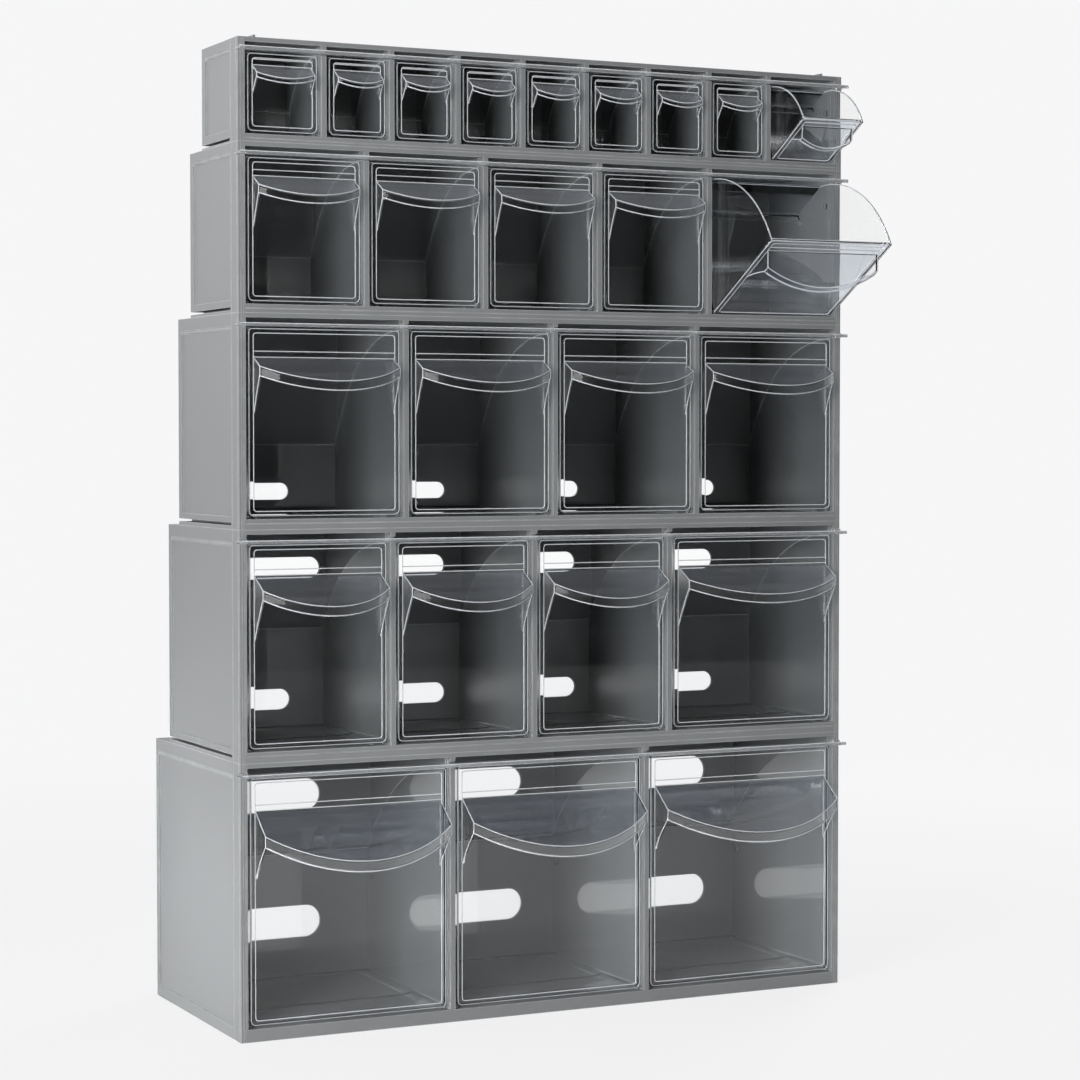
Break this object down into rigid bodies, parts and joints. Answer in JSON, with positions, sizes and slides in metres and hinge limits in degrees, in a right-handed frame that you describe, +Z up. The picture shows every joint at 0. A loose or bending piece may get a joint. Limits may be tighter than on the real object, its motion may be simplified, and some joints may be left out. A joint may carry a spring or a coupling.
{
  "type": "parts bin cabinet",
  "caption": "Wall or bench storage cabinet of stacked grey moulded housings holding rows of clear tip-out bins with curved handles, a clear strip over each row.",
  "frame": {"origin": "middle of the footprint of the bottom row, on the surface the cabinet stands on", "axes": "+Z up, -Y towards the front where the bins tip out, +X to the right seen from the front"},
  "size_m": [0.603, 0.3317, 0.861],
  "materials": {
    "housing_plastic": "satin moulded",
    "clear_bin_plastic": "clear gloss moulded",
    "clear_strip_plastic": "clear gloss extruded"
  },
  "bodies": {
    "cabinet": {"row1_housing": "housing_plastic", "row2_housing": "housing_plastic", "row3_housing": "housing_plastic", "row4_housing": "housing_plastic", "row5_housing": "housing_plastic", "row1_strip": "clear_strip_plastic", "row2_strip": "clear_strip_plastic", "row3_strip": "clear_strip_plastic", "row4_strip": "clear_strip_plastic", "row5_strip": "clear_strip_plastic"},
    "bin_1_1": {"row1_bin1": "clear_bin_plastic"},
    "bin_1_2": {"row1_bin2": "clear_bin_plastic"},
    "bin_1_3": {"row1_bin3": "clear_bin_plastic"},
    "bin_1_4": {"row1_bin4": "clear_bin_plastic"},
    "bin_1_5": {"row1_bin5": "clear_bin_plastic"},
    "bin_1_6": {"row1_bin6": "clear_bin_plastic"},
    "bin_1_7": {"row1_bin7": "clear_bin_plastic"},
    "bin_1_8": {"row1_bin8": "clear_bin_plastic"},
    "bin_1_9": {"row1_bin9": "clear_bin_plastic"},
    "bin_2_1": {"row2_bin1": "clear_bin_plastic"},
    "bin_2_2": {"row2_bin2": "clear_bin_plastic"},
    "bin_2_3": {"row2_bin3": "clear_bin_plastic"},
    "bin_2_4": {"row2_bin4": "clear_bin_plastic"},
    "bin_2_5": {"row2_bin5": "clear_bin_plastic"},
    "bin_3_1": {"row3_bin1": "clear_bin_plastic"},
    "bin_3_2": {"row3_bin2": "clear_bin_plastic"},
    "bin_3_3": {"row3_bin3": "clear_bin_plastic"},
    "bin_3_4": {"row3_bin4": "clear_bin_plastic"},
    "bin_4_1": {"row4_bin1": "clear_bin_plastic"},
    "bin_4_2": {"row4_bin2": "clear_bin_plastic"},
    "bin_4_3": {"row4_bin3": "clear_bin_plastic"},
    "bin_4_4": {"row4_bin4": "clear_bin_plastic"},
    "bin_5_1": {"row5_bin1": "clear_bin_plastic"},
    "bin_5_2": {"row5_bin2": "clear_bin_plastic"},
    "bin_5_3": {"row5_bin3": "clear_bin_plastic"}
  },
  "joints": [
    {"name": "tilt_1_1", "type": "hinge", "parent": "cabinet", "child": "bin_1_1", "pos_m": [-0.2588, -0.1097, 0.7797], "axis": [1, 0, 0], "range_deg": [0, 60]},
    {"name": "tilt_1_2", "type": "hinge", "parent": "cabinet", "child": "bin_1_2", "pos_m": [-0.1901, -0.1097, 0.7797], "axis": [1, 0, 0], "range_deg": [0, 60]},
    {"name": "tilt_1_3", "type": "hinge", "parent": "cabinet", "child": "bin_1_3", "pos_m": [-0.1269, -0.1097, 0.7797], "axis": [1, 0, 0], "range_deg": [0, 60]},
    {"name": "tilt_1_4", "type": "hinge", "parent": "cabinet", "child": "bin_1_4", "pos_m": [-0.0637, -0.1097, 0.7797], "axis": [1, 0, 0], "range_deg": [0, 60]},
    {"name": "tilt_1_5", "type": "hinge", "parent": "cabinet", "child": "bin_1_5", "pos_m": [-0.0005, -0.1097, 0.7797], "axis": [1, 0, 0], "range_deg": [0, 60]},
    {"name": "tilt_1_6", "type": "hinge", "parent": "cabinet", "child": "bin_1_6", "pos_m": [0.0627, -0.1097, 0.7797], "axis": [1, 0, 0], "range_deg": [0, 60]},
    {"name": "tilt_1_7", "type": "hinge", "parent": "cabinet", "child": "bin_1_7", "pos_m": [0.1259, -0.1097, 0.7797], "axis": [1, 0, 0], "range_deg": [0, 60]},
    {"name": "tilt_1_8", "type": "hinge", "parent": "cabinet", "child": "bin_1_8", "pos_m": [0.1891, -0.1097, 0.7797], "axis": [1, 0, 0], "range_deg": [0, 60]},
    {"name": "tilt_1_9", "type": "hinge", "parent": "cabinet", "child": "bin_1_9", "pos_m": [0.2583, -0.1097, 0.7797], "axis": [1, 0, 0], "range_deg": [-60, 0]},
    {"name": "tilt_2_1", "type": "hinge", "parent": "cabinet", "child": "bin_2_1", "pos_m": [-0.23912, -0.1097, 0.6357], "axis": [1, 0, 0], "range_deg": [0, 60]},
    {"name": "tilt_2_2", "type": "hinge", "parent": "cabinet", "child": "bin_2_2", "pos_m": [-0.12556, -0.1097, 0.6357], "axis": [1, 0, 0], "range_deg": [0, 60]},
    {"name": "tilt_2_3", "type": "hinge", "parent": "cabinet", "child": "bin_2_3", "pos_m": [-0.012, -0.1097, 0.6357], "axis": [1, 0, 0], "range_deg": [0, 60]},
    {"name": "tilt_2_4", "type": "hinge", "parent": "cabinet", "child": "bin_2_4", "pos_m": [0.10156, -0.1097, 0.6357], "axis": [1, 0, 0], "range_deg": [0, 60]},
    {"name": "tilt_2_5", "type": "hinge", "parent": "cabinet", "child": "bin_2_5", "pos_m": [0.22712, -0.1097, 0.6357], "axis": [1, 0, 0], "range_deg": [-60, 0]},
    {"name": "tilt_3_1", "type": "hinge", "parent": "cabinet", "child": "bin_3_1", "pos_m": [-0.22068, -0.1097, 0.4522], "axis": [1, 0, 0], "range_deg": [0, 60]},
    {"name": "tilt_3_2", "type": "hinge", "parent": "cabinet", "child": "bin_3_2", "pos_m": [-0.07272, -0.1097, 0.4522], "axis": [1, 0, 0], "range_deg": [0, 60]},
    {"name": "tilt_3_3", "type": "hinge", "parent": "cabinet", "child": "bin_3_3", "pos_m": [0.07273, -0.1097, 0.4522], "axis": [1, 0, 0], "range_deg": [0, 60]},
    {"name": "tilt_3_4", "type": "hinge", "parent": "cabinet", "child": "bin_3_4", "pos_m": [0.22068, -0.1097, 0.4522], "axis": [1, 0, 0], "range_deg": [0, 60]},
    {"name": "tilt_4_1", "type": "hinge", "parent": "cabinet", "child": "bin_4_1", "pos_m": [-0.22705, -0.1097, 0.2527], "axis": [1, 0, 0], "range_deg": [0, 60]},
    {"name": "tilt_4_2", "type": "hinge", "parent": "cabinet", "child": "bin_4_2", "pos_m": [-0.08935, -0.1097, 0.2527], "axis": [1, 0, 0], "range_deg": [0, 60]},
    {"name": "tilt_4_3", "type": "hinge", "parent": "cabinet", "child": "bin_4_3", "pos_m": [0.04835, -0.1097, 0.2527], "axis": [1, 0, 0], "range_deg": [0, 60]},
    {"name": "tilt_4_4", "type": "hinge", "parent": "cabinet", "child": "bin_4_4", "pos_m": [0.20655, -0.1097, 0.2527], "axis": [1, 0, 0], "range_deg": [0, 60]},
    {"name": "tilt_5_1", "type": "hinge", "parent": "cabinet", "child": "bin_5_1", "pos_m": [-0.1986, -0.1097, 0.0142], "axis": [1, 0, 0], "range_deg": [0, 60]},
    {"name": "tilt_5_2", "type": "hinge", "parent": "cabinet", "child": "bin_5_2", "pos_m": [-0.004, -0.1097, 0.0142], "axis": [1, 0, 0], "range_deg": [0, 60]},
    {"name": "tilt_5_3", "type": "hinge", "parent": "cabinet", "child": "bin_5_3", "pos_m": [0.1946, -0.1097, 0.0142], "axis": [1, 0, 0], "range_deg": [0, 60]}
  ]
}
